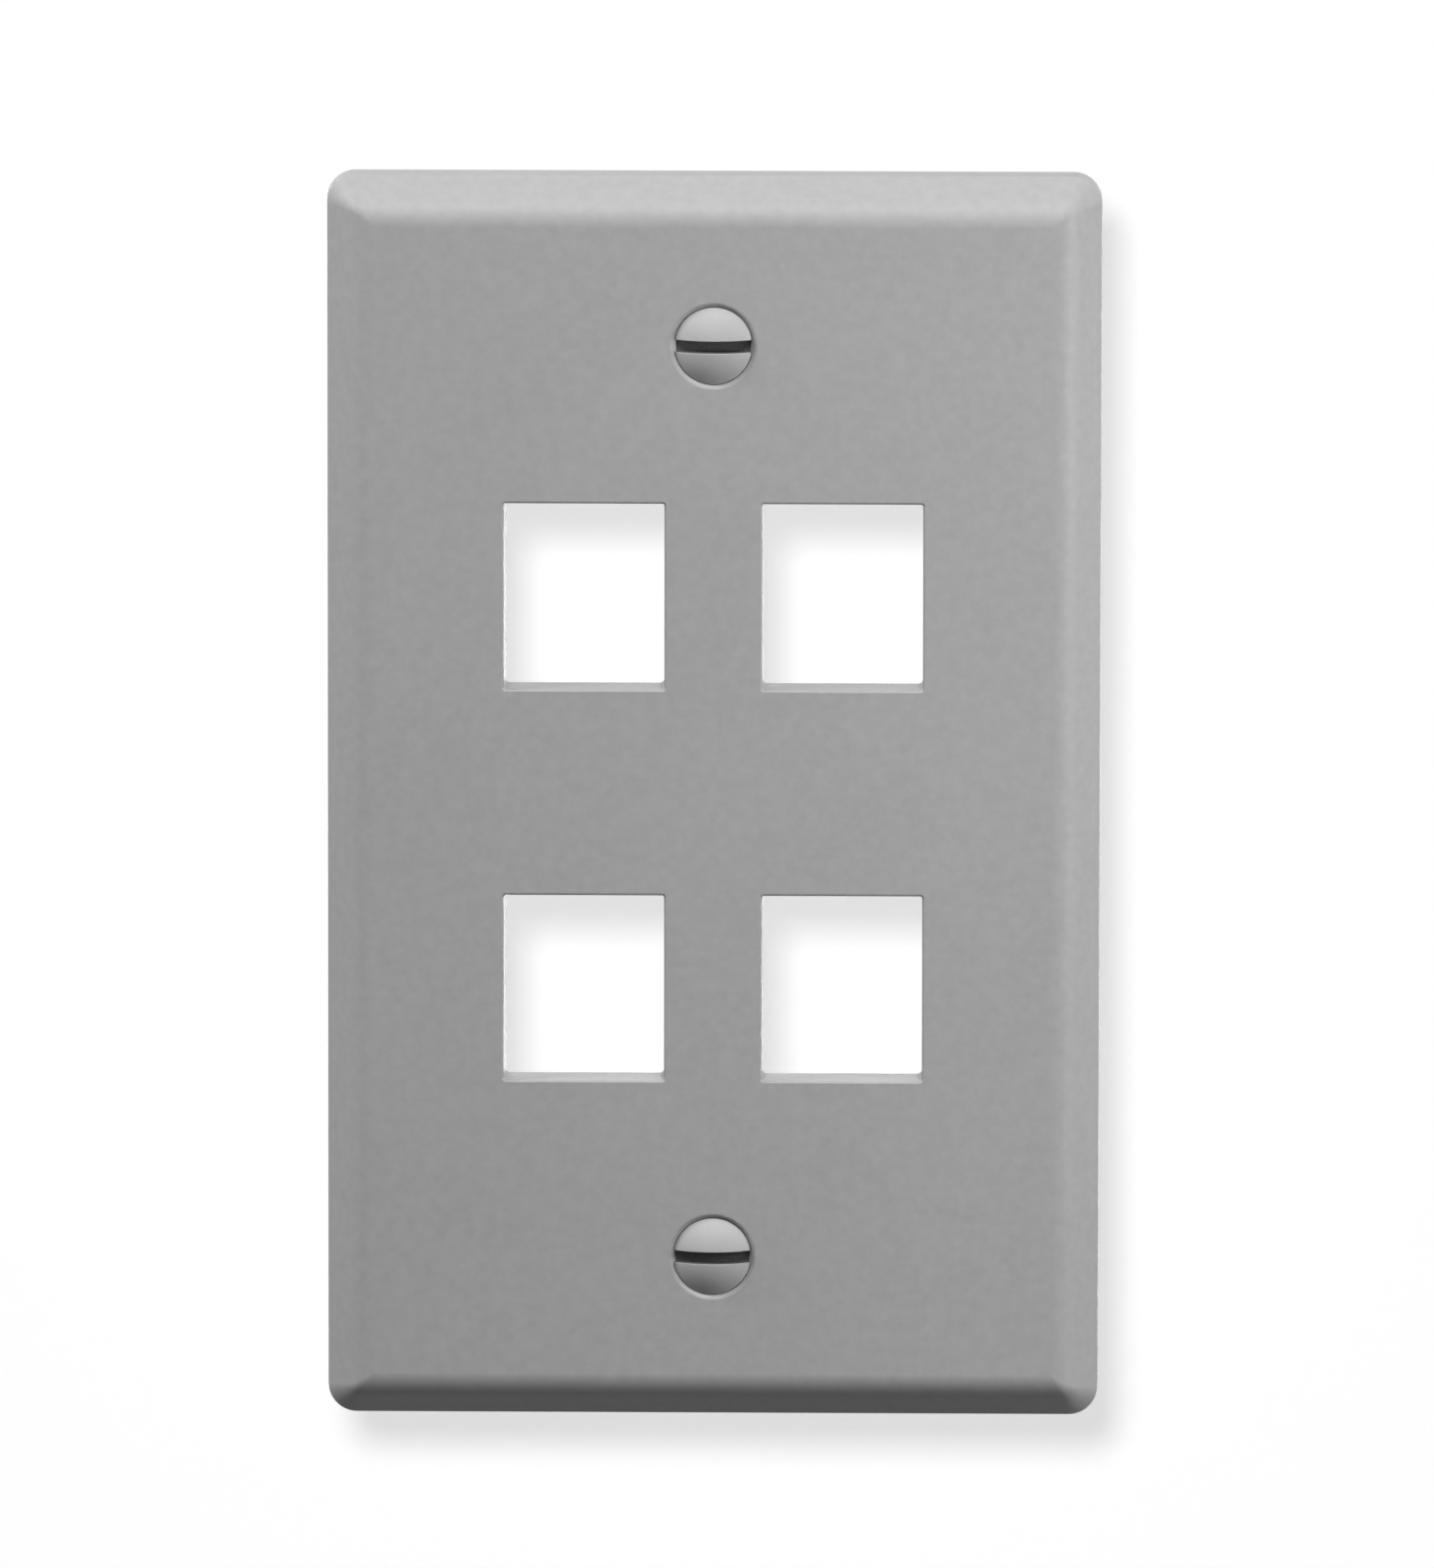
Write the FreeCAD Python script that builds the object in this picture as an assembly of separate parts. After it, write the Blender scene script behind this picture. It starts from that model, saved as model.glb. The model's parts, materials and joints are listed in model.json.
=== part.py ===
import FreeCAD, Part
import math
import os

# Four-port keystone faceplate for a single-gang wall box, in millimetres.
# X runs to the right, Z up the long side, and the front face looks along -Y.
# The origin is the middle of the rear rim, in the plane that lies on the wall.

# Plate shell
plate_width = 69.85
plate_height = 113.6
plate_depth = 6.0
face_wall = 2.0
side_wall = 2.0
corner_r = 2.6
cavity_corner_r = 1.0

# Side wall and the sloped border round the front face
rim_height = 2.5
rim_draft = 0.08
rim_edge_r = 0.4
bevel_width = 3.1
bevel_corner_r = 2.4
bevel_blend_r = 3.4

# Port windows, two columns by two rows
port_columns = 2
port_rows = 2
column_pitch = 23.3
row_pitch = 35.8
ports_rise = 0.9
window_width = 14.5
window_height = 17.0
window_corner_r = 0.5
opening_edge_break = 0.2

# Port frame behind each window; depths are counted back from the front face
port_depth = 9.9
frame_side_wall = 1.8
pocket_wall = 1.6
frame_corner_r = 0.6
catch_thickness = 1.8

# Latch pocket under the window, where the sprung side of a jack snaps in
latch_ledge_depth = 4.2
latch_pocket_drop = 4.3
latch_catch_drop = 2.5
latch_lead_in = 1.1

# Lug pocket over the window, where the fixed side of a jack hooks in
lug_ledge_depth = 6.5
lug_pocket_rise = 1.9
lug_catch_rise = 0.2
lug_lead_in = 0.5

# Ribs inside the hollow back
rib_thickness = 1.2
rib_height = 2.0

# Screw holes and their bosses
screw_spacing = 83.34
screw_hole_r = 2.0
countersink_mouth_r = 4.0
countersink_angle = 82.0
boss_r = 4.8
boss_depth = 4.5
boss_root_r = 0.5

# Oval-head machine screw, size 6-32 by one inch
screw_major_r = 1.7525
screw_neck_r = 1.45
screw_head_r = 3.6
screw_head_land = 0.12
screw_dome_height = 1.2
screw_length = 25.4
screw_tip_chamfer = 0.5
screw_thread_start = 0.1
screw_seat_gap = 0.03
slot_width = 1.15
slot_depth = 1.5


# Levels and places that follow from the sizes above
front_y = -plate_depth
face_back_y = front_y + face_wall
frame_back_y = front_y + port_depth
catch_depth = port_depth - catch_thickness
boss_back_y = front_y + boss_depth
half_angle = math.radians(countersink_angle / 2)
cone_slope = math.tan(half_angle)
screw_places = (-screw_spacing / 2, screw_spacing / 2)
rear = FreeCAD.Vector(0, 1, 0)


# Closed rounded rectangle, centred on the Y axis, in the plane of one depth
def rounded_outline(width, height, radius, y):
    across = width / 2 - radius
    up = height / 2 - radius
    corners = ((across, up, 0), (-across, up, 90), (-across, -up, 180), (across, -up, 270))
    arcs = []
    for centre_x, centre_z, start in corners:
        turn = [math.radians(start + step) for step in (0, 45, 90)]
        points = [
            FreeCAD.Vector(centre_x + radius * math.cos(a), y, centre_z + radius * math.sin(a))
            for a in turn
        ]
        arcs.append(points)
    edges = []
    for place, points in enumerate(arcs):
        edges.append(Part.Arc(*points).toShape())
        following = arcs[(place + 1) % len(arcs)][0]
        edges.append(Part.LineSegment(points[2], following).toShape())
    return Part.Wire(edges)


# Prism across X from a side profile of (y, z) points, centred on one x
def cross_prism(profile, width, centre_x):
    points = [FreeCAD.Vector(centre_x - width / 2, y, z) for y, z in profile]
    face = Part.Face(Part.makePolygon(points + points[:1]))
    return face.extrude(FreeCAD.Vector(width, 0, 0))


# Turned solid from a profile of (radius, y) points, about an axis along Y
def turned(profile, centre_z):
    points = [FreeCAD.Vector(radius, y, 0) for radius, y in profile]
    face = Part.Face(Part.makePolygon(points + points[:1]))
    solid = face.revolve(FreeCAD.Vector(0, 0, 0), rear, 360)
    solid.translate(FreeCAD.Vector(0, 0, centre_z))
    return solid


# Edges of a solid that lie wholly in the plane of one depth
def edges_at(solid, y):
    return [
        edge
        for edge in solid.Edges
        if abs(edge.BoundBox.YMin - y) < 1e-4 and abs(edge.BoundBox.YMax - y) < 1e-4
    ]


# Block of the plate: drafted side wall, sloped border, soft blend into the flat face
def plate_block():
    border_width = plate_width - 2 * rim_draft
    border_height = plate_height - 2 * rim_draft
    face_width = plate_width - 2 * bevel_width
    face_height = plate_height - 2 * bevel_width
    block = Part.makeLoft(
        [
            rounded_outline(plate_width, plate_height, corner_r, 0),
            rounded_outline(border_width, border_height, corner_r, -rim_height),
            rounded_outline(face_width, face_height, bevel_corner_r, front_y),
        ],
        True,
        True,
    )
    block = block.makeFillet(bevel_blend_r, edges_at(block, front_y))
    return block.makeFillet(rim_edge_r, edges_at(block, -rim_height))


# Hollow back of the plate, which follows the side wall and the border from inside
def plate_cavity():
    border_turn = math.atan2(bevel_width, plate_depth - rim_height)
    knee_y = -(rim_height - side_wall * math.tan(border_turn / 2))
    floor_inset = bevel_width + face_wall * math.tan((math.pi / 2 - border_turn) / 2)
    inner_width = plate_width - 2 * side_wall
    inner_height = plate_height - 2 * side_wall
    knee_width = inner_width - 2 * rim_draft
    knee_height = inner_height - 2 * rim_draft
    floor_width = plate_width - 2 * floor_inset
    floor_height = plate_height - 2 * floor_inset
    return Part.makeLoft(
        [
            rounded_outline(inner_width, inner_height, cavity_corner_r, 0),
            rounded_outline(knee_width, knee_height, cavity_corner_r, knee_y),
            rounded_outline(floor_width, floor_height, cavity_corner_r, face_back_y),
        ],
        True,
        True,
    )


# Middle of each window as (x, z)
def port_places():
    places = []
    for column in range(port_columns):
        for row in range(port_rows):
            x = (column - (port_columns - 1) / 2) * column_pitch
            z = (row - (port_rows - 1) / 2) * row_pitch + ports_rise
            places.append((x, z))
    return places


# Outside of one port frame, from within the front wall to its open back
def port_frame(x, z):
    width = window_width + 2 * frame_side_wall
    bottom = z - window_height / 2 - latch_pocket_drop - pocket_wall
    top = z + window_height / 2 + lug_pocket_rise + pocket_wall
    start_y = front_y + face_wall / 2
    corner = FreeCAD.Vector(x - width / 2, start_y, bottom)
    frame = Part.makeBox(width, frame_back_y - start_y, top - bottom, corner)
    long_edges = [
        edge
        for edge in frame.Edges
        if edge.BoundBox.YLength > edge.BoundBox.XLength + edge.BoundBox.ZLength
    ]
    return frame.makeFillet(frame_corner_r, long_edges)


# Straight passage of one port, as wide and high as its window, with a broken front edge
def port_passage(x, z):
    flare = opening_edge_break
    mouth = rounded_outline(
        window_width + 2 * flare,
        window_height + 2 * flare,
        window_corner_r + flare,
        front_y,
    )
    throat = rounded_outline(window_width, window_height, window_corner_r, front_y + flare)
    end = rounded_outline(window_width, window_height, window_corner_r, frame_back_y)
    passage = Part.makeLoft([mouth, throat, end], True, True)
    passage.translate(FreeCAD.Vector(x, 0, z))
    return passage


# Hollow under the window: pocket, catch and the slope that leads a latch over it
def latch_pocket(x, z):
    sill = z - window_height / 2
    inside = sill + window_corner_r
    floor = sill - latch_pocket_drop
    catch = sill - latch_catch_drop
    profile = (
        (front_y + latch_ledge_depth, inside),
        (front_y + latch_ledge_depth, floor),
        (front_y + catch_depth, floor),
        (front_y + catch_depth, catch),
        (frame_back_y - latch_lead_in, catch),
        (frame_back_y, catch - latch_lead_in),
        (frame_back_y, inside),
    )
    return cross_prism(profile, window_width, x)


# Hollow over the window: shallow pocket and the catch that holds the fixed lug
def lug_pocket(x, z):
    lintel = z + window_height / 2
    inside = lintel - window_corner_r
    roof = lintel + lug_pocket_rise
    catch = lintel + lug_catch_rise
    profile = (
        (front_y + lug_ledge_depth, inside),
        (front_y + lug_ledge_depth, roof),
        (front_y + catch_depth, roof),
        (front_y + catch_depth, catch),
        (frame_back_y - lug_lead_in, catch),
        (frame_back_y, catch + lug_lead_in),
        (frame_back_y, inside),
    )
    return cross_prism(profile, window_width, x)


# Spine between the columns and crossbar between the rows, held inside the plate's outside
def back_ribs(block):
    root_y = front_y + face_wall / 2
    depth = face_back_y + rib_height - root_y
    spine_length = plate_height - 2 * side_wall
    bar_length = plate_width - 2 * side_wall
    spine = Part.makeBox(
        rib_thickness,
        depth,
        spine_length,
        FreeCAD.Vector(-rib_thickness / 2, root_y, -spine_length / 2),
    )
    bar = Part.makeBox(
        bar_length,
        depth,
        rib_thickness,
        FreeCAD.Vector(-bar_length / 2, root_y, ports_rise - rib_thickness / 2),
    )
    return spine.fuse(bar).common(block)


# Boss behind one screw hole, with a flared root on the front wall
def screw_boss(z):
    root_y = front_y + face_wall / 2
    profile = (
        (0, root_y),
        (boss_r + boss_root_r, root_y),
        (boss_r + boss_root_r, face_back_y),
        (boss_r, face_back_y + boss_root_r),
        (boss_r, boss_back_y),
        (0, boss_back_y),
    )
    return turned(profile, z)


# Countersunk hole through the front wall and its boss, with a broken front edge
def screw_hole(z):
    cone_end_y = front_y + (countersink_mouth_r - screw_hole_r) / cone_slope
    break_r = countersink_mouth_r - opening_edge_break * math.sin(half_angle)
    break_y = front_y + opening_edge_break * math.cos(half_angle)
    profile = (
        (0, front_y),
        (countersink_mouth_r + opening_edge_break, front_y),
        (break_r, break_y),
        (screw_hole_r, cone_end_y),
        (screw_hole_r, boss_back_y),
        (0, boss_back_y),
    )
    return turned(profile, z)


# Whole moulded plate
def faceplate():
    block = plate_block()
    body = block.cut(plate_cavity())
    solid_parts = [back_ribs(block)]
    hollow_parts = []
    for x, z in port_places():
        solid_parts.append(port_frame(x, z))
        hollow_parts += [port_passage(x, z), latch_pocket(x, z), lug_pocket(x, z)]
    for z in screw_places:
        solid_parts.append(screw_boss(z))
        hollow_parts.append(screw_hole(z))
    return body.fuse(solid_parts).cut(hollow_parts).removeSplitter()


# Profile of the domed top of the head, from the axis to the rim of its land
def dome_profile(land_y):
    sphere_r = (screw_head_r**2 + screw_dome_height**2) / (2 * screw_dome_height)
    centre_y = land_y - screw_dome_height + sphere_r
    span = math.asin(screw_head_r / sphere_r)
    middle = span / 2
    return Part.Arc(
        FreeCAD.Vector(0, centre_y - sphere_r, 0),
        FreeCAD.Vector(sphere_r * math.sin(middle), centre_y - sphere_r * math.cos(middle), 0),
        FreeCAD.Vector(screw_head_r, land_y, 0),
    )


# One oval-head screw, seated in its countersink
def mounting_screw(z):
    seat_drop = (countersink_mouth_r - screw_head_r) / cone_slope
    land_back_y = front_y + seat_drop - screw_seat_gap / math.sin(half_angle)
    land_y = land_back_y - screw_head_land
    neck_y = land_back_y + (screw_head_r - screw_neck_r) / cone_slope
    thread_y = boss_back_y + screw_thread_start
    tip_y = land_y + screw_length
    outline = [
        (screw_head_r, land_y),
        (screw_head_r, land_back_y),
        (screw_neck_r, neck_y),
        (screw_neck_r, thread_y - (screw_major_r - screw_neck_r)),
        (screw_major_r, thread_y),
        (screw_major_r, tip_y - screw_tip_chamfer),
        (screw_major_r - screw_tip_chamfer, tip_y),
        (0, tip_y),
        (0, land_y - screw_dome_height),
    ]
    points = [FreeCAD.Vector(radius, y, 0) for radius, y in outline]
    edges = [dome_profile(land_y).toShape()]
    for start, end in zip(points, points[1:]):
        edges.append(Part.LineSegment(start, end).toShape())
    screw = Part.Face(Part.Wire(edges)).revolve(FreeCAD.Vector(0, 0, 0), rear, 360)
    top_y = land_y - screw_dome_height
    slot = Part.makeBox(
        2 * screw_head_r,
        slot_depth,
        slot_width,
        FreeCAD.Vector(-screw_head_r, top_y, -slot_width / 2),
    )
    screw = screw.cut(slot)
    screw.translate(FreeCAD.Vector(0, 0, z))
    return screw


# Both screws, as two separate solids in one group
def mounting_screws():
    return Part.makeCompound([mounting_screw(z) for z in screw_places])


os.makedirs("parts", exist_ok=True)
faceplate().exportStep("parts/faceplate.step")
mounting_screws().exportStep("parts/mounting_screws.step")
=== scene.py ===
import bmesh
import bpy
import json
import math
import numpy as np
from mathutils import Matrix, Vector


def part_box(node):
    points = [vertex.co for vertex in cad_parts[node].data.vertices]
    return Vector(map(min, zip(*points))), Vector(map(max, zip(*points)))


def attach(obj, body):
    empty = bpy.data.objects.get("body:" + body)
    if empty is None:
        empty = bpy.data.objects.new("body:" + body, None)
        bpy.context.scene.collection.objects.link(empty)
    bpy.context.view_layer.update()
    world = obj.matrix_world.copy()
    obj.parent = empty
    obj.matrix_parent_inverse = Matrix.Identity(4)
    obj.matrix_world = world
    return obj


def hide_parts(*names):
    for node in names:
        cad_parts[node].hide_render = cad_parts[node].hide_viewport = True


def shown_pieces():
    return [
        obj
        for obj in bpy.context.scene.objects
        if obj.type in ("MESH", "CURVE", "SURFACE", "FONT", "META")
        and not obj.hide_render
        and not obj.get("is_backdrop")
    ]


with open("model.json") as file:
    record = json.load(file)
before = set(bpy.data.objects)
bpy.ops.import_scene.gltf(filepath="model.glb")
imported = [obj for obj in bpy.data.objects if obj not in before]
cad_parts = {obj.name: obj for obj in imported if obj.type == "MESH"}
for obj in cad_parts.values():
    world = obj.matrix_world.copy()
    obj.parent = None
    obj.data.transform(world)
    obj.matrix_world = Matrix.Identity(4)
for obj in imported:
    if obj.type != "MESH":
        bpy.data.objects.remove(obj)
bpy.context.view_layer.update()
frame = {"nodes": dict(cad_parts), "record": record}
mm = 0.001
body = "root"
facts = frame["record"]
screwSpacing = next(m for m in facts["mounts"] if m["name"] == "box_screws")["dims"]["pcd_mm"]
portPlaces = [m["pos_m"] for m in facts["mounts"] if m["name"].startswith("keystone_port")]
brightWhite = (1.0, 1.0, 1.0, 1.0)
noiseMiddle = 0.5


# Small helpers shared by the pieces

def gridQuads(rows, columns):
    # corner numbers of every quad on a rows x columns grid of points, row by row
    first = (np.arange(rows - 1)[:, None] * columns + np.arange(columns - 1)).ravel()
    return np.stack([first, first + 1, first + columns + 1, first + columns], axis=1)


class Patchwork:
    # collects grids of points, in mm, that share their borders, each with the number of its material
    def __init__(self):
        self.points, self.quads, self.finishes, self.count = [], [], [], 0

    def add(self, x, y, z, finish=0):
        x, y, z = np.broadcast_arrays(x, y, z)
        rows, columns = x.shape
        self.points.append(np.stack([x, y, z], axis=-1).reshape(-1, 3))
        self.quads.append(gridQuads(rows, columns) + self.count)
        self.finishes.append(np.full(len(self.quads[-1]), finish, dtype=np.int32))
        self.count += rows * columns

    def mesh(self, name, weldGap):
        made = bpy.data.meshes.new(name)
        made.from_pydata((np.concatenate(self.points) * mm).tolist(), [], np.concatenate(self.quads).tolist())
        made.polygons.foreach_set("material_index", np.concatenate(self.finishes))
        work = bmesh.new()
        work.from_mesh(made)
        bmesh.ops.remove_doubles(work, verts=work.verts, dist=weldGap * mm)
        bmesh.ops.dissolve_degenerate(work, edges=work.edges, dist=weldGap * mm)
        bmesh.ops.recalc_face_normals(work, faces=work.faces)
        openEdges = sum(len(e.link_faces) != 2 for e in work.edges)
        work.to_mesh(made)
        work.free()
        print(name, "vertices", len(made.vertices), "open edges", openEdges)
        return made


def addPiece(name, mesh, *materials):
    piece = bpy.data.objects.new(name, mesh)
    bpy.context.scene.collection.objects.link(piece)
    while len(mesh.materials) > len(materials):
        mesh.materials.pop()
    for place, each in enumerate(materials):
        if place < len(mesh.materials):
            mesh.materials[place] = each
        else:
            mesh.materials.append(each)
    return piece


def smoothShade(mesh, sharpFrom):
    mesh.shade_smooth()
    mesh.set_sharp_from_angle(angle=math.radians(sharpFrom))


def nodeIn(tree, kind, **settings):
    made = tree.nodes.new(kind)
    for name, value in settings.items():
        setattr(made, name, value)
    return made


# Shader effects, built once as node groups

def newGroup(name, inputs, outputs):
    tree = bpy.data.node_groups.new(name, "ShaderNodeTree")
    for label, kind, value in inputs:
        made = tree.interface.new_socket(name=label, in_out="INPUT", socket_type=kind)
        made.default_value = value
    for label, kind in outputs:
        tree.interface.new_socket(name=label, in_out="OUTPUT", socket_type=kind)
    return tree, nodeIn(tree, "NodeGroupInput"), nodeIn(tree, "NodeGroupOutput")


def mathNode(tree, operation, first, second):
    made = nodeIn(tree, "ShaderNodeMath", operation=operation)
    for place, value in enumerate((first, second)):
        if isinstance(value, float):
            made.inputs[place].default_value = value
        else:
            tree.links.new(value, made.inputs[place])
    return made.outputs[0]


def noiseOn(tree, vector, scale, detail, roughness):
    made = nodeIn(tree, "ShaderNodeTexNoise")
    made.inputs["Detail"].default_value = detail
    made.inputs["Roughness"].default_value = roughness
    tree.links.new(vector, made.inputs["Vector"])
    tree.links.new(scale, made.inputs["Scale"])
    return made.outputs["Fac"]


def buildSkinGrain():
    # spark-eroded mould skin: fine pits over a coarser ripple, as a height and as a mask
    tree, given, out = newGroup(
        "skinGrain",
        [("Pit Scale", "NodeSocketFloat", 5200.0), ("Ripple Scale", "NodeSocketFloat", 420.0),
         ("Ripple Share", "NodeSocketFloat", 0.25)],
        [("Height", "NodeSocketFloat"), ("Mask", "NodeSocketFloat")],
    )
    place = nodeIn(tree, "ShaderNodeTexCoord").outputs["Object"]
    pits = noiseOn(tree, place, given.outputs["Pit Scale"], detail=3.0, roughness=0.6)
    ripple = noiseOn(tree, place, given.outputs["Ripple Scale"], detail=1.0, roughness=0.4)
    rippleHeight = mathNode(tree, "MULTIPLY", ripple, given.outputs["Ripple Share"])
    height = mathNode(tree, "ADD", pits, rippleHeight)
    tree.links.new(height, out.inputs["Height"])
    tree.links.new(pits, out.inputs["Mask"])
    return tree


def buildToneDrift():
    # slow drift of tone with a fine speck over it, both as plus or minus shares of the colour
    tree, given, out = newGroup(
        "toneDrift",
        [("Color", "NodeSocketColor", (0.5, 0.5, 0.5, 1.0)), ("Drift", "NodeSocketFloat", 0.03),
         ("Drift Scale", "NodeSocketFloat", 45.0), ("Speck", "NodeSocketFloat", 0.03),
         ("Speck Scale", "NodeSocketFloat", 2400.0)],
        [("Color", "NodeSocketColor")],
    )
    place = nodeIn(tree, "ShaderNodeTexCoord").outputs["Object"]
    drift = noiseOn(tree, place, given.outputs["Drift Scale"], detail=3.0, roughness=0.55)
    speck = noiseOn(tree, place, given.outputs["Speck Scale"], detail=2.0, roughness=0.5)
    driftAround = mathNode(tree, "SUBTRACT", drift, noiseMiddle)
    speckAround = mathNode(tree, "SUBTRACT", speck, noiseMiddle)
    driftShare = mathNode(tree, "MULTIPLY", driftAround, given.outputs["Drift"])
    speckShare = mathNode(tree, "MULTIPLY", speckAround, given.outputs["Speck"])
    share = mathNode(tree, "ADD", mathNode(tree, "ADD", driftShare, speckShare), 1.0)
    scaled = nodeIn(tree, "ShaderNodeVectorMath", operation="SCALE")
    tree.links.new(given.outputs["Color"], scaled.inputs[0])
    tree.links.new(share, scaled.inputs["Scale"])
    tree.links.new(scaled.outputs[0], out.inputs["Color"])
    return tree


def buildSettledDust():
    # thin pale dust on what faces upwards: the upward share squared, broken up by noise
    tree, given, out = newGroup(
        "settledDust",
        [("Amount", "NodeSocketFloat", 0.06), ("Patch Scale", "NodeSocketFloat", 700.0)],
        [("Mask", "NodeSocketFloat")],
    )
    coordinate = nodeIn(tree, "ShaderNodeTexCoord")
    facing = nodeIn(tree, "ShaderNodeSeparateXYZ")
    tree.links.new(coordinate.outputs["Normal"], facing.inputs[0])
    upward = mathNode(tree, "MAXIMUM", facing.outputs["Z"], 0.0)
    patchScale = given.outputs["Patch Scale"]
    patches = noiseOn(tree, coordinate.outputs["Object"], patchScale, detail=4.0, roughness=0.65)
    broken = mathNode(tree, "MULTIPLY", mathNode(tree, "POWER", upward, 2.0), patches)
    tree.links.new(mathNode(tree, "MULTIPLY", broken, given.outputs["Amount"]), out.inputs["Mask"])
    return tree


skinGrain = buildSkinGrain()
toneDrift = buildToneDrift()
settledDust = buildSettledDust()
print("shader groups ready")


# Materials

def newMaterial(name):
    made = bpy.data.materials.new(name)
    made.use_nodes = True
    shader = made.node_tree.nodes["Principled BSDF"]
    return made, made.node_tree, shader


def groupIn(tree, group, values):
    made = nodeIn(tree, "ShaderNodeGroup", node_tree=group)
    for label, value in values.items():
        made.inputs[label].default_value = value
    return made


def remap(tree, value, low, high):
    made = nodeIn(tree, "ShaderNodeMapRange")
    tree.links.new(value, made.inputs["Value"])
    made.inputs["To Min"].default_value = low
    made.inputs["To Max"].default_value = high
    return made.outputs["Result"]


def bumpFrom(tree, height, strength, distance):
    made = nodeIn(tree, "ShaderNodeBump")
    made.inputs["Strength"].default_value = strength
    made.inputs["Distance"].default_value = distance
    tree.links.new(height, made.inputs["Height"])
    return made.outputs["Normal"]


def mixColour(tree, mask, first, second):
    made = nodeIn(tree, "ShaderNodeMix", data_type="RGBA")
    tree.links.new(mask, made.inputs["Factor"])
    # by number, because the node's number, vector and colour sockets share their names
    colourA, colourB, mixed = made.inputs[6], made.inputs[7], made.outputs[2]
    tree.links.new(first, colourA)
    colourB.default_value = second
    return mixed


def cameraSight(tree):
    # 1 for what the camera sees straight, mirrored or through glass, 0 for light on its way
    rays = nodeIn(tree, "ShaderNodeLightPath")
    seen = mathNode(tree, "MAXIMUM", rays.outputs["Is Camera Ray"], rays.outputs["Is Glossy Ray"])
    return mathNode(tree, "MAXIMUM", seen, rays.outputs["Is Transmission Ray"])


def coatedMaterial(name, finish):
    # drifting tone under a cover of dust or dullness, roughness and bump from one grain
    made, tree, shader = newMaterial(name)
    tone = groupIn(tree, toneDrift, {"Color": finish["tone"]} | finish["drift"])
    grain = groupIn(tree, skinGrain, finish["grain"])
    if "dust" in finish:
        cover = groupIn(tree, settledDust, finish["dust"]).outputs["Mask"]
    else:
        cover = remap(tree, grain.outputs["Mask"], 0.0, finish["coverUpTo"])
    colour = mixColour(tree, cover, tone.outputs["Color"], finish["coverTone"])
    tree.links.new(colour, shader.inputs["Base Color"])
    roughness = remap(tree, grain.outputs["Mask"], *finish["roughness"])
    tree.links.new(roughness, shader.inputs["Roughness"])
    normal = bumpFrom(tree, grain.outputs["Height"], finish["bumpStrength"], finish["bumpDepth"] * mm)
    tree.links.new(normal, shader.inputs["Normal"])
    for label, value in finish["shader"].items():
        shader.inputs[label].default_value = value
    return made


# the plate: grey plastic out of a spark-eroded mould, with dust on its ledges
plasticFinish = {
    "tone": (0.335, 0.335, 0.335, 1.0),
    "coverTone": (0.55, 0.55, 0.54, 1.0),
    "drift": {"Drift": 0.06, "Drift Scale": 60.0, "Speck": 0.17, "Speck Scale": 1100.0},
    "grain": {"Pit Scale": 5200.0, "Ripple Scale": 420.0, "Ripple Share": 0.3},
    "dust": {"Amount": 0.08, "Patch Scale": 900.0},
    "roughness": (0.46, 0.58),
    "bumpStrength": 0.35,
    "bumpDepth": 0.02,
    "shader": {"Specular IOR Level": 0.22},
}
# the screw heads: paint in the plate's colour, a little uneven
paintFinish = {
    "tone": (0.385, 0.385, 0.385, 1.0),
    "coverTone": (0.6, 0.6, 0.59, 1.0),
    "drift": {"Drift": 0.08, "Drift Scale": 400.0, "Speck": 0.08, "Speck Scale": 3200.0},
    "grain": {"Pit Scale": 2600.0, "Ripple Scale": 900.0, "Ripple Share": 0.6},
    "dust": {"Amount": 0.1, "Patch Scale": 1500.0},
    "roughness": (0.5, 0.64),
    "bumpStrength": 0.3,
    "bumpDepth": 0.02,
    "shader": {"Specular IOR Level": 0.2},
}
# the shanks: bare zinc, dull in patches
zincFinish = {
    "tone": (0.38, 0.39, 0.41, 1.0),
    "coverTone": (0.22, 0.22, 0.23, 1.0),
    "coverUpTo": 0.5,
    "drift": {"Drift": 0.2, "Drift Scale": 600.0, "Speck": 0.12, "Speck Scale": 4200.0},
    "grain": {"Pit Scale": 6000.0, "Ripple Scale": 1200.0, "Ripple Share": 0.5},
    "roughness": (0.36, 0.6),
    "bumpStrength": 0.25,
    "bumpDepth": 0.01,
    "shader": {"Metallic": 1.0},
}
# the slots: painted shade, a near-black colour that stands for the shadow inside them, with darker specks from
# the grain
paintedSlotShadeFinish = {
    "tone": (0.13, 0.13, 0.13, 1.0),
    "coverTone": (0.05, 0.048, 0.045, 1.0),
    "coverUpTo": 0.9,
    "drift": {"Drift": 0.3, "Drift Scale": 900.0, "Speck": 0.2, "Speck Scale": 4000.0},
    "grain": {"Pit Scale": 3500.0, "Ripple Scale": 1100.0, "Ripple Share": 0.8},
    "roughness": (0.6, 0.85),
    "bumpStrength": 0.4,
    "bumpDepth": 0.03,
    "shader": {"Specular IOR Level": 0.15},
}

platePlastic = coatedMaterial("mouldedPlastic", plasticFinish)
headPaint = coatedMaterial("screwPaint", paintFinish)
shankZinc = coatedMaterial("zincPlate", zincFinish)
# the slot material is painted shade: its dark colour stands for the shadow in the slots
slotPaintedShade = coatedMaterial("paintedShadeInSlot", paintedSlotShadeFinish)
print("materials ready")


# The moulded plate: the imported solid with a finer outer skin, its sharp edges rounded

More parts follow.
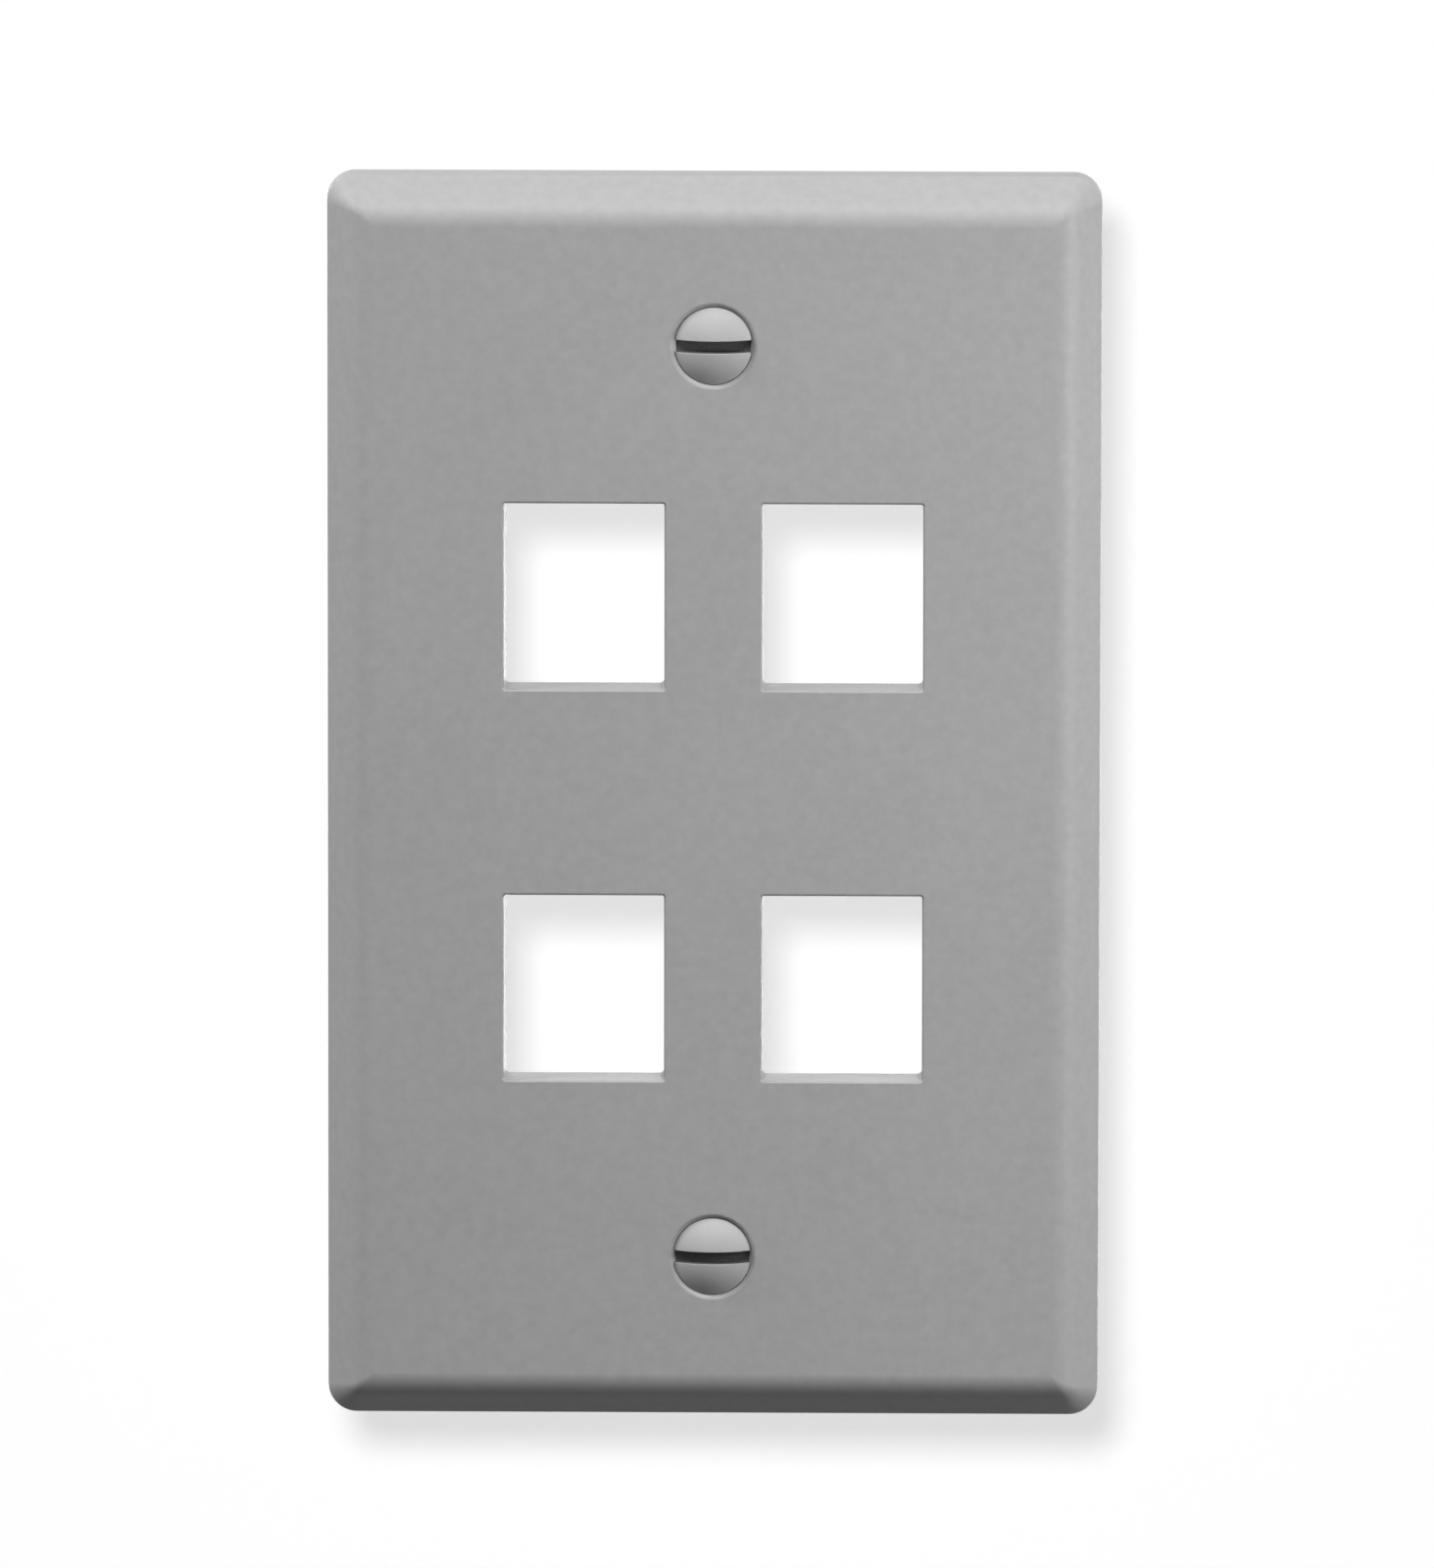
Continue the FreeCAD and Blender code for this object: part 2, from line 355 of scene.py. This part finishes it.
# lengths in mm, facing as a share of the unit normal
plateSkin = {
    "cornerR": 2.6,
    "rimHeight": 2.5,
    "rimDraft": 0.08,
    "rimEdgeR": 0.4,
    "borderWidth": 2.9,
    "blendR": 3.2,
    "faceCornerR": 0.4,
    "solidReach": 5.2,
    "cornerZone": 4.0,
    "sideReach": 1.5,
    "leansForward": 0.02,
    "leansOut": 0.5,
    "liesFlat": 0.999,
    "flatGap": 0.002,
    "cornerSteps": 14,
    "rimSteps": 4,
    "blendSteps": 14,
}
# lengths in mm, angles in degrees; a port's heights are from its mount, its depths from the wall plane
plateEdge = {
    "weldGap": 0.001,
    "mouthShare": 0.96,
    "mouthSearch": 4.3,
    "mouthDepth": 0.2,
    "windowHalf": (7.25, 8.5),
    "windowR": 0.5,
    "windowSharper": 0.3,
    "windowDepth": 0.3,
    "flatWithin": 0.3,
    "round": 0.16,
    "roundSteps": 2,
    "roundFrom": 55.0,
    "sharpFrom": 25.0,
    "portHalf": 7.5,
    "portHeights": (-13.0, 10.6),
    "portDepths": (-5.5, 3.7),
}


def cornerLoop(width, height, inset, radius, y):
    # closed rounded rectangle, the same number of points in every corner whatever its radius
    turn = np.radians(np.linspace(0, 90, plateSkin["cornerSteps"] + 1))
    angles = (np.radians([0, 90, 180, 270])[:, None] + turn).ravel()
    side = np.repeat([[1, 1], [-1, 1], [-1, -1], [1, -1]], len(turn), axis=0)
    x = side[:, 0] * (width / 2 - inset - radius) + radius * np.cos(angles)
    z = side[:, 1] * (height / 2 - inset - radius) + radius * np.sin(angles)
    loop = np.stack([x, np.full_like(x, y), z], axis=-1)
    return np.concatenate([loop, loop[:1]])


def roundedTurn(start, middle, end, steps):
    # quadratic curve: (1-t)^2 of the start, 2t(1-t) of the corner point and t^2 of the end
    t = np.linspace(0, 1, steps + 1)[:, None, None]
    return (1 - t)**2 * start + 2 * t * (1 - t) * middle + t**2 * end


def outerSkin(low, high):
    # side wall, rim edge, sloped border and its blend into the face, carried round the outline
    width, height, frontY = high.x - low.x, high.z - low.z, low.y
    draft, run = plateSkin["rimDraft"], plateSkin["borderWidth"]
    rise = -frontY - plateSkin["rimHeight"]
    rear = cornerLoop(width, height, 0, plateSkin["cornerR"], 0)
    knee = cornerLoop(width, height, draft, plateSkin["cornerR"], -plateSkin["rimHeight"])
    brow = cornerLoop(width, height, run, plateSkin["faceCornerR"], frontY)
    slopeLength = math.hypot(run - draft, rise)
    tilt = math.atan2(rise, run - draft)
    blendReach = plateSkin["blendR"] * math.tan(tilt / 2)
    rimReach = plateSkin["rimEdgeR"] * math.tan((math.pi / 2 - tilt) / 2)
    face = cornerLoop(width, height, run + blendReach, 0, frontY)
    wallEnd = knee + (rear - knee) * rimReach / plateSkin["rimHeight"]
    slopeStart = knee + (brow - knee) * rimReach / slopeLength
    slopeEnd = brow + (knee - brow) * blendReach / slopeLength
    rimTurn = roundedTurn(wallEnd, knee, slopeStart, plateSkin["rimSteps"])
    blend = roundedTurn(slopeEnd, brow, face, plateSkin["blendSteps"])
    rows = np.concatenate([rear[None], rimTurn, blend])
    parts = Patchwork()
    parts.add(rows[..., 0], rows[..., 1], rows[..., 2])
    return parts.mesh("outer_skin", plateEdge["weldGap"])


def skinFaces(mesh, low, high):
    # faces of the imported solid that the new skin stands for, with the flat face and the flat rear of the rim
    count = len(mesh.polygons)
    centres, normals = np.empty(count * 3), np.empty(count * 3)
    mesh.polygons.foreach_get("center", centres)
    mesh.polygons.foreach_get("normal", normals)
    centres, normals = centres.reshape(-1, 3) / mm, normals.reshape(-1, 3)
    outX = np.abs(centres[:, 0]) - high.x
    outZ = np.abs(centres[:, 2]) - high.z
    border = np.maximum(outX, outZ) > -plateSkin["solidReach"]
    sideways = normals[:, 0] * np.sign(centres[:, 0]) * (outX > outZ - plateSkin["cornerZone"])
    upright = normals[:, 2] * np.sign(centres[:, 2]) * (outZ > outX - plateSkin["cornerZone"])
    outward = sideways + upright
    side = (outward > plateSkin["leansOut"]) & (np.maximum(outX, outZ) > -plateSkin["sideReach"])
    outside = border & ((normals[:, 1] < -plateSkin["leansForward"]) | side)
    front = (np.abs(centres[:, 1] - low.y) < plateSkin["flatGap"]) & (normals[:, 1] < -plateSkin["liesFlat"])
    rear = (np.abs(centres[:, 1]) < plateSkin["flatGap"]) & (normals[:, 1] > plateSkin["liesFlat"])
    return np.flatnonzero(outside | front | rear).tolist()


def closeFlat(work, y, facing):
    # flat face between all the open edges in the plane of one depth
    near = plateEdge["weldGap"] * mm
    rim = [e for e in work.edges if len(e.link_faces) == 1]
    edges = [e for e in rim if all(abs(v.co.y - y * mm) < near for v in e.verts)]
    made = bmesh.ops.triangle_fill(work, use_beauty=True, edges=edges, normal=(0, facing, 0))
    for part in made["geom"]:
        if isinstance(part, bmesh.types.BMFace) and part.normal.y * facing < 0:
            part.normal_flip()


def crispWindows(spots, low):
    # arcs at the front corners of each window: the same straight sides, part of the radius taken off,
    # so a point moves along x and z by that part times 1 less the cosine or the sine of its turn
    halfWidth, halfHeight = plateEdge["windowHalf"]
    less = plateEdge["windowSharper"]
    for port in portPlaces:
        x, z = spots[:, 0] - port[0] / mm, spots[:, 2] - port[2] / mm
        pastX = np.abs(x) - halfWidth + plateEdge["windowR"]
        pastZ = np.abs(z) - halfHeight + plateEdge["windowR"]
        radius = np.hypot(pastX, pastZ)
        corner = spots[:, 1] < low.y + plateEdge["windowDepth"]
        corner &= np.minimum(pastX, pastZ) > -plateEdge["weldGap"]
        corner &= radius < 2 * plateEdge["windowR"]
        spots[corner, 0] += (np.sign(x) * less * (1 - pastX / radius))[corner]
        spots[corner, 2] += (np.sign(z) * less * (1 - pastZ / radius))[corner]


def narrowMouths(spots, low):
    # broken edge of each countersink drawn in: each point's distance from the screw's axis times a share
    for centreZ in (-screwSpacing / 2, screwSpacing / 2):
        x, z = spots[:, 0], spots[:, 2] - centreZ
        rim = spots[:, 1] < low.y + plateEdge["mouthDepth"]
        rim &= np.hypot(x, z) < plateEdge["mouthSearch"]
        spots[rim, 0] = x[rim] * plateEdge["mouthShare"]
        spots[rim, 2] = centreZ + z[rim] * plateEdge["mouthShare"]


def markRounded(work):
    # the edges to round get a bevel weight; inside the ports, where short edges meet, they stay sharp
    reachX = plateEdge["portHalf"]
    lowZ, highZ = plateEdge["portHeights"]
    frontY, rearY = plateEdge["portDepths"]
    weight = work.edges.layers.float.new("bevel_weight_edge")
    for edge in work.edges:
        middle = (edge.verts[0].co + edge.verts[1].co) / 2
        fromPorts = [((middle.x - x) / mm, (middle.z - z) / mm) for x, y, z in portPlaces]
        inPort = frontY < middle.y / mm < rearY
        inPort &= any(abs(x) < reachX and lowZ < z < highZ for x, z in fromPorts)
        turn = math.degrees(edge.calc_face_angle())
        edge.smooth = not (inPort and turn > plateEdge["sharpFrom"])
        if not inPort and turn > plateEdge["roundFrom"]:
            edge[weight] = 1.0


def roundedPlate():
    low, high = (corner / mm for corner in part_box("faceplate"))
    mesh = frame["nodes"]["faceplate"].data.copy()
    work = bmesh.new()
    work.from_mesh(mesh)
    bmesh.ops.remove_doubles(work, verts=work.verts, dist=plateEdge["weldGap"] * mm)
    work.to_mesh(mesh)
    work.clear()
    spots = np.empty(len(mesh.vertices) * 3)
    mesh.vertices.foreach_get("co", spots)
    spots = spots.reshape(-1, 3) / mm
    narrowMouths(spots, low)
    crispWindows(spots, low)
    mesh.vertices.foreach_set("co", (spots * mm).ravel())
    replaced = skinFaces(mesh, low, high)
    work.from_mesh(mesh)
    work.faces.ensure_lookup_table()
    bmesh.ops.delete(work, geom=[work.faces[place] for place in replaced], context="FACES")
    skin = outerSkin(low, high)
    work.from_mesh(skin)
    bpy.data.meshes.remove(skin)
    closeFlat(work, low.y, -1)
    closeFlat(work, 0.0, 1)
    bmesh.ops.recalc_face_normals(work, faces=work.faces)
    bmesh.ops.dissolve_limit(
        work, angle_limit=math.radians(plateEdge["flatWithin"]), verts=work.verts, edges=work.edges,
    )
    openEdges = sum(len(e.link_faces) != 2 for e in work.edges)
    markRounded(work)
    work.to_mesh(mesh)
    work.free()
    print("plate faces", len(mesh.polygons), "open edges", openEdges)
    for name in ("custom_normal", "sharp_face"):
        if name in mesh.attributes:
            mesh.attributes.remove(mesh.attributes[name])
    mesh.shade_smooth()
    piece = addPiece("moulded_plate", mesh, platePlastic)
    edges = piece.modifiers.new("roundedEdges", "BEVEL")
    edges.limit_method = "WEIGHT"
    edges.width = plateEdge["round"] * mm
    edges.segments = plateEdge["roundSteps"]
    edges.use_clamp_overlap = False
    edges.miter_outer = "MITER_ARC"
    shade = piece.modifiers.new("flatFacesFirst", "WEIGHTED_NORMAL")
    shade.keep_sharp = True
    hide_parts("faceplate")
    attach(piece, body)


roundedPlate()
print("plate ready")


# The mounting screws: slotted oval heads, painted, on bare zinc threads

# lengths in mm, angles in degrees; grooveHalf, flank and fadeFrom are shares of the pitch
screw = {
    "headR": 3.5,
    "neckR": 1.45,
    "domeHeight": 1.2,
    "land": 0.12,
    "coneAngle": 82.0,
    "length": 25.4,
    "slotWidth": 1.05,
    "slotDepth": 1.5,
    "majorR": 1.7525,
    "rootR": 1.33,
    "pitch": 0.79375,
    "threadFrom": -1.7,
    "grooveHalf": 0.4375,
    "flank": 0.3125,
    "fadeFrom": 0.3,
    "tipChamfer": 0.5,
    "weldGap": 0.0005,
    "mouthSteps": 8,
    "arcSteps": 40,
    "domeSteps": 14,
    "coneSteps": 5,
    "rowsPerTurn": 12,
    "round": 0.07,
    "roundSteps": 2,
    "roundFrom": 30.0,
    "sharpFrom": 50.0,
}
shankNumber, slotShadeNumber = 1, 2


def columnAngles(mouthHalf):
    # angles of a ring's points: the slot's right mouth, over the top, its left mouth, underneath
    mouth, arc = screw["mouthSteps"], screw["arcSteps"]
    marks = np.cumsum([0, mouth, arc, mouth, arc])
    turns = [-mouthHalf, mouthHalf, math.pi - mouthHalf, math.pi + mouthHalf, 2 * math.pi - mouthHalf]
    return np.interp(np.arange(marks[-1] + 1), marks, turns)


def screwSurfaces(parts, centreZ, tipY):
    headR, half = screw["headR"], screw["slotWidth"] / 2
    slope = math.tan(math.radians(screw["coneAngle"] / 2))
    landY = tipY - screw["length"]
    landBackY = landY + screw["land"]
    topY = landY - screw["domeHeight"]
    floorY = topY + screw["slotDepth"]
    neckY = landBackY + (headR - screw["neckR"]) / slope
    sphereR = (headR**2 + screw["domeHeight"]**2) / (2 * screw["domeHeight"])
    floorR = headR - (floorY - landBackY) * slope
    mouth, arc = screw["mouthSteps"], screw["arcSteps"]
    # half the mouth's angle in a ring whose points are all the same distance apart
    evenMouth = math.pi * mouth / (2 * (mouth + arc))

    def dome(x, z):
        return topY + sphereR - np.sqrt(sphereR**2 - x**2 - z**2)

    # side of the head over and under the slot: rings at the rim, the land's back and the slot's floor
    for start in (mouth, 2 * mouth + arc):
        radii = np.array([headR, headR, floorR])[:, None]
        levels = np.array([landY, landBackY, floorY])[:, None]
        angles = np.stack([columnAngles(math.asin(half / r))[start:start + arc + 1] for r in radii[:, 0]])
        parts.add(radii * np.cos(angles), levels, centreZ + radii * np.sin(angles))

    # dome in two halves: straight lines across it, from the slot's edge to the rim
    rim = columnAngles(math.asin(half / headR))[mouth:mouth + arc + 1]
    rimX, rimZ = headR * np.cos(rim), headR * np.sin(rim)
    along = np.linspace(0, 1, screw["domeSteps"] + 1)[:, None]
    for side in (1, -1):
        z = side * (half + along * (rimZ - half))
        parts.add(rimX, dome(rimX, z), centreZ + z)

    # slot: two walls from the dome down to the floor, then the floor between them
    edgeY = dome(rimX, half)
    backShare = (landBackY - floorY) / (landY - floorY)
    floorScale = math.sqrt(floorR**2 - half**2) / rimX[0]
    wallX = np.stack([rimX, rimX, rimX * floorScale])
    wallY = np.stack([edgeY, floorY + (edgeY - floorY) * backShare, np.full_like(edgeY, floorY)])
    # the slot's walls and floor take the painted-shade material
    for side in (1, -1):
        parts.add(wallX, wallY, centreZ + side * half, slotShadeNumber)
    mouthTurn = columnAngles(math.asin(half / floorR))[:mouth + 1, None]
    floorX = rimX / rimX[0] * floorR * np.cos(mouthTurn)
    parts.add(floorX, floorY, centreZ + floorR * np.sin(mouthTurn), slotShadeNumber)

    # cone under the head: whole rings whose points even out towards the neck
    share = np.linspace(0, 1, screw["coneSteps"] + 1)[:, None]
    radii = floorR + (screw["neckR"] - floorR) * share
    levels = floorY + (neckY - floorY) * share
    angles = columnAngles(math.asin(half / floorR)) * (1 - share) + columnAngles(evenMouth) * share
    parts.add(radii * np.cos(angles), levels, centreZ + radii * np.sin(angles))
    angles = columnAngles(evenMouth)

    # shank: crest radius along the screw less a trapezoid groove that winds once per pitch, right-handed
    threadLength = tipY - screw["threadFrom"]
    grooveDepth = screw["majorR"] - screw["rootR"]
    rows = int(round(threadLength / screw["pitch"] * screw["rowsPerTurn"]))
    y = np.linspace(screw["threadFrom"], tipY, rows + 1)[:, None]
    crest = np.minimum(screw["majorR"], screw["neckR"] + (y - screw["threadFrom"]))
    crest = np.minimum(crest, screw["majorR"] - screw["tipChamfer"] + (tipY - y))
    phase = (y / screw["pitch"] + angles / (2 * math.pi)) % 1.0
    groove = np.clip((screw["grooveHalf"] - np.abs(phase - 0.5)) / screw["flank"], 0, 1)
    fade = np.clip((y - screw["threadFrom"]) / screw["pitch"] - screw["fadeFrom"], 0, 1)
    radii = np.maximum(crest - grooveDepth * groove * fade, np.minimum(crest, screw["rootR"]))
    parts.add(radii * np.cos(angles), y, centreZ + radii * np.sin(angles), shankNumber)

    # neck between the cone and the thread, and the flat end closed to its middle
    neck = np.array([neckY, screw["threadFrom"]])[:, None]
    neckX, neckZ = screw["neckR"] * np.cos(angles), screw["neckR"] * np.sin(angles)
    parts.add(neckX, neck, centreZ + neckZ, shankNumber)
    shrink = np.array([1.0, 0.5, 0.0])[:, None] * radii[-1]
    parts.add(shrink * np.cos(angles), tipY, centreZ + shrink * np.sin(angles), shankNumber)


def slottedScrews():
    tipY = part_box("mounting_screws")[1].y / mm
    parts = Patchwork()
    for centreZ in (-screwSpacing / 2, screwSpacing / 2):
        screwSurfaces(parts, centreZ, tipY)
    mesh = parts.mesh("slotted_screws", screw["weldGap"])
    piece = addPiece("slotted_screws", mesh, headPaint, shankZinc, slotPaintedShade)
    work = bmesh.new()
    work.from_mesh(mesh)
    weight = work.edges.layers.float.new("bevel_weight_edge")
    for edge in work.edges:
        onHead = all(face.material_index != shankNumber for face in edge.link_faces)
        if onHead and edge.calc_face_angle() > math.radians(screw["roundFrom"]):
            edge[weight] = 1.0
    work.to_mesh(mesh)
    work.free()
    smoothShade(mesh, screw["sharpFrom"])
    edges = piece.modifiers.new("softEdges", "BEVEL")
    edges.limit_method = "WEIGHT"
    edges.width = screw["round"] * mm
    edges.segments = screw["roundSteps"]
    edges.use_clamp_overlap = False
    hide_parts("mounting_screws")
    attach(piece, body)


slottedScrews()
print("screws ready")


# Stage: a pale wall behind the plate and a pale floor under it, seen by the camera alone

# lengths in mm
stage = {
    "wallY": 44.0,
    "floorZ": -120.0,
    "half": 600.0,
    "glow": 0.63,
    "paint": (0.9, 0.9, 0.9, 1.0),
}


def stageMaterial():
    made, tree, shader = newMaterial("paleStage")
    shader.inputs["Base Color"].default_value = stage["paint"]
    shader.inputs["Roughness"].default_value = 1.0
    shader.inputs["Specular IOR Level"].default_value = 0.0
    glow = mathNode(tree, "MULTIPLY", cameraSight(tree), stage["glow"])
    shader.inputs["Emission Color"].default_value = brightWhite
    tree.links.new(glow, shader.inputs["Emission Strength"])
    clear = nodeIn(tree, "ShaderNodeBsdfTransparent")
    blend = nodeIn(tree, "ShaderNodeMixShader")
    tree.links.new(nodeIn(tree, "ShaderNodeNewGeometry").outputs["Backfacing"], blend.inputs[0])
    tree.links.new(shader.outputs[0], blend.inputs[1])
    tree.links.new(clear.outputs[0], blend.inputs[2])
    tree.links.new(blend.outputs[0], tree.nodes["Material Output"].inputs["Surface"])
    return made


def stageSheet(name, corners, material):
    mesh = bpy.data.meshes.new(name)
    mesh.from_pydata([tuple(v * mm for v in corner) for corner in corners], [], [(0, 1, 2, 3)])
    sheet = addPiece(name, mesh, material)
    sheet.visible_diffuse = False
    sheet.visible_glossy = False
    sheet.visible_transmission = False
    sheet.visible_shadow = False
    sheet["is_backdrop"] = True
    return sheet


paleStage = stageMaterial()
half, wallY, floorZ = stage["half"], stage["wallY"], stage["floorZ"]
wallCorners = [(-half, wallY, floorZ), (half, wallY, floorZ), (half, wallY, half), (-half, wallY, half)]
floorCorners = [(-half, -half, floorZ), (half, -half, floorZ), (half, half, floorZ), (-half, half, floorZ)]
wall = stageSheet("wall", wallCorners, paleStage)
floor = stageSheet("floor", floorCorners, paleStage)
print("stage ready")


# Light: soft lamps and a pale sky on the plate, one lamp behind it, one lamp for each stage sheet

lamps = {
    # azimuth and elevation from the plate's middle in degrees, distance and side in mm, light on the plate
    "topLamp": (0.0, 57.0, 900.0, 320.0, 0.82),
    "leftLamp": (-80.0, 40.0, 900.0, 320.0, 0.74),
    "rightLamp": (65.0, 10.0, 250.0, 95.0, 0.69),
    "frontLamp": (0.0, 5.0, 900.0, 320.0, 0.07),
    "backLamp": (180.0, -6.0, 600.0, 300.0, 0.7),
}
sky = {"above": 0.10, "below": 0.06, "blendUpTo": 0.2}
stageLamps = {
    # slope to the right and down per unit of depth, distance and width in mm, share of the stage's white
    "wall": (0.0285, 0.243, 2300.0, 192.0, 0.30),
    "floor": (0.1, 6.0, 6000.0, 1500.0, 0.33),
}


def direction(azimuth, elevation):
    # unit vector away from the plate: azimuth 0 is in front of it and grows to the right
    a, e = math.radians(azimuth), math.radians(elevation)
    return Vector((math.sin(a) * math.cos(e), -math.cos(a) * math.cos(e), math.sin(e)))


def addLamp(name, data, place, towards):
    lamp = bpy.data.objects.new(name, data)
    bpy.context.scene.collection.objects.link(lamp)
    lamp.location = place
    lamp.rotation_euler = towards.to_track_quat("-Z", "Y").to_euler()
    lamp.visible_camera = False
    return lamp


def lampsOnPlate():
    plateOnly = bpy.data.collections.new("plateOnly")
    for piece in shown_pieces():
        plateOnly.objects.link(piece)
    for name, (azimuth, elevation, distance, side, light) in lamps.items():
        data = bpy.data.lights.new(name, "AREA")
        data.shape = "SQUARE"
        data.size = side * mm
        # a lamp's power for that light on the plate: light times pi squared times the distance squared
        data.energy = light * math.pi**2 * (distance * mm)**2
        back = direction(azimuth, elevation)
        lamp = addLamp(name, data, back * distance * mm, -back)
        lamp.light_linking.receiver_collection = plateOnly


def lampOnSheet(name, sheet):
    right, down, distance, width, share = stageLamps[name]
    data = bpy.data.lights.new(name + "Lamp", "AREA")
    data.shape = "DISK"
    data.size = width * mm
    towards = Vector((right, 1.0, -down)).normalized()
    # as for the lamps on the plate, with the sheet's paint and its slant to the light taken off
    facing = abs(towards.y) if name == "wall" else abs(towards.z)
    data.energy = share / (stage["paint"][0] * facing) * math.pi**2 * (distance * mm)**2
    lamp = addLamp(name + "Lamp", data, -towards * distance * mm, towards)
    only = bpy.data.collections.new(name + "Only")
    only.objects.link(sheet)
    lamp.light_linking.receiver_collection = only


def paleSky():
    world = bpy.data.worlds.new("paleSky")
    bpy.context.scene.world = world
    world.use_nodes = True
    tree = world.node_tree
    tree.nodes.clear()
    height = nodeIn(tree, "ShaderNodeSeparateXYZ")
    tree.links.new(nodeIn(tree, "ShaderNodeTexCoord").outputs["Generated"], height.inputs[0])
    rise = nodeIn(tree, "ShaderNodeMapRange", interpolation_type="SMOOTHSTEP")
    tree.links.new(height.outputs["Z"], rise.inputs["Value"])
    rise.inputs["From Min"].default_value = -sky["blendUpTo"]
    rise.inputs["From Max"].default_value = sky["blendUpTo"]
    rise.inputs["To Min"].default_value = sky["below"]
    rise.inputs["To Max"].default_value = sky["above"]
    glow = nodeIn(tree, "ShaderNodeBackground")
    white = nodeIn(tree, "ShaderNodeBackground")
    tree.links.new(rise.outputs["Result"], glow.inputs["Strength"])
    blend = nodeIn(tree, "ShaderNodeMixShader")
    tree.links.new(cameraSight(tree), blend.inputs[0])
    tree.links.new(glow.outputs[0], blend.inputs[1])
    tree.links.new(white.outputs[0], blend.inputs[2])
    out = nodeIn(tree, "ShaderNodeOutputWorld")
    tree.links.new(blend.outputs[0], out.inputs["Surface"])
    glow.inputs["Color"].default_value = brightWhite
    white.inputs["Color"].default_value = brightWhite


lampsOnPlate()
lampOnSheet("wall", wall)
lampOnSheet("floor", floor)
paleSky()
bpy.context.scene.view_settings.view_transform = "Standard"
print("light ready")


# Camera: far off, a little above the plate and to its right, as in the photograph

# angles in degrees, lengths in mm but for the clip's end in m
view = {
    "azimuth": 0.9,
    "elevation": 9.74,
    "roll": 0.08,
    "distance": 2300.0,
    "aimRight": 0.27,
    "aimUp": 0.71,
    "pixelsPerMm": 11.283,
    "photoHeight": 1600,
    "sensor": 36.0,
    "clipEnd": 20.0,
}


def photoCamera():
    back = direction(view["azimuth"], view["elevation"])
    right = Vector((0, 0, 1)).cross(back).normalized()
    up = back.cross(right)
    data = bpy.data.cameras.new("photoCamera")
    data.sensor_width = view["sensor"]
    # the photo's height is the sensor's longer side, and pixelsPerMm is the photo's scale at the plate
    data.lens = view["pixelsPerMm"] * view["distance"] * view["sensor"] / view["photoHeight"]
    data.clip_end = view["clipEnd"]
    camera = bpy.data.objects.new("photoCamera", data)
    bpy.context.scene.collection.objects.link(camera)
    aim = right * view["aimRight"] + up * view["aimUp"]
    turn = Matrix((right, up, back)).transposed() @ Matrix.Rotation(math.radians(view["roll"]), 3, "Z")
    camera.matrix_world = Matrix.Translation((aim + back * view["distance"]) * mm) @ turn.to_4x4()
    bpy.context.scene.camera = camera


photoCamera()
print("camera ready")
